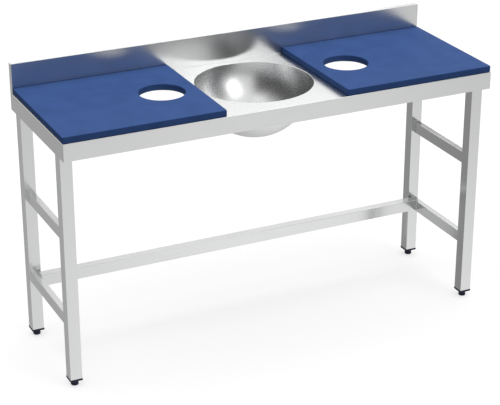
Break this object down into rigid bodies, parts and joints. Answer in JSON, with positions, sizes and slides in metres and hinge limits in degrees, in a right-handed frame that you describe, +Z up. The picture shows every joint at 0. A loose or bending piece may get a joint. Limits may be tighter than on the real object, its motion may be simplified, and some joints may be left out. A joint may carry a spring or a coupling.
{
  "type": "sink table",
  "caption": "Stainless steel preparation table with a round central bowl, removable cutting boards over waste holes, a rear upstand and adjustable feet.",
  "frame": {"origin": "on the floor under the middle of the worktop", "axes": "+X along the table to the right as seen from the front, +Y from the front to the upstand at the back, +Z up"},
  "size_m": [1.5, 0.5, 0.954],
  "materials": {
    "stainless": "satin brushed",
    "board_plastic": "fine matt",
    "foot_plastic": "satin moulded",
    "gasket_rubber": "matt"
  },
  "bodies": {
    "table": {"worktop": "stainless", "bowl": "stainless", "left_inner_channel": "stainless", "left_outer_channel": "stainless", "right_inner_channel": "stainless", "right_outer_channel": "stainless", "left_front_locating_stud": "stainless", "left_back_locating_stud": "stainless", "right_front_locating_stud": "stainless", "right_back_locating_stud": "stainless", "front_left_leg": "stainless", "front_right_leg": "stainless", "back_left_leg": "stainless", "back_right_leg": "stainless", "front_left_leg_head": "stainless", "front_right_leg_head": "stainless", "back_left_leg_head": "stainless", "back_right_leg_head": "stainless", "front_left_cap": "foot_plastic", "front_right_cap": "foot_plastic", "back_left_cap": "foot_plastic", "back_right_cap": "foot_plastic", "left_lower_rail": "stainless", "left_upper_rail": "stainless", "right_lower_rail": "stainless", "right_upper_rail": "stainless", "rear_stretcher": "stainless", "waste_body": "stainless", "waste_upper_gasket": "gasket_rubber", "waste_lower_gasket": "gasket_rubber", "waste_nut": "stainless"},
    "left_board": {"left_board": "board_plastic"},
    "right_board": {"right_board": "board_plastic"},
    "strainer": {"strainer": "stainless"},
    "front_left_foot": {"front_left_foot": "foot_plastic", "front_left_foot_stud": "stainless"},
    "front_right_foot": {"front_right_foot": "foot_plastic", "front_right_foot_stud": "stainless"},
    "back_left_foot": {"back_left_foot": "foot_plastic", "back_left_foot_stud": "stainless"},
    "back_right_foot": {"back_right_foot": "foot_plastic", "back_right_foot_stud": "stainless"}
  },
  "joints": [
    {"name": "left_board_lift", "type": "slide", "parent": "table", "child": "left_board", "axis": [0, 0, 1], "range_m": [0, 0.15]},
    {"name": "right_board_lift", "type": "slide", "parent": "table", "child": "right_board", "axis": [0, 0, 1], "range_m": [0, 0.15]},
    {"name": "strainer_lift", "type": "slide", "parent": "table", "child": "strainer", "axis": [0, 0, 1], "range_m": [0, 0.25]},
    {"name": "front_left_foot_adjust", "type": "slide", "parent": "table", "child": "front_left_foot", "axis": [0, 0, -1], "range_m": [0, 0.02]},
    {"name": "front_right_foot_adjust", "type": "slide", "parent": "table", "child": "front_right_foot", "axis": [0, 0, -1], "range_m": [0, 0.02]},
    {"name": "back_left_foot_adjust", "type": "slide", "parent": "table", "child": "back_left_foot", "axis": [0, 0, -1], "range_m": [0, 0.02]},
    {"name": "back_right_foot_adjust", "type": "slide", "parent": "table", "child": "back_right_foot", "axis": [0, 0, -1], "range_m": [0, 0.02]}
  ]
}
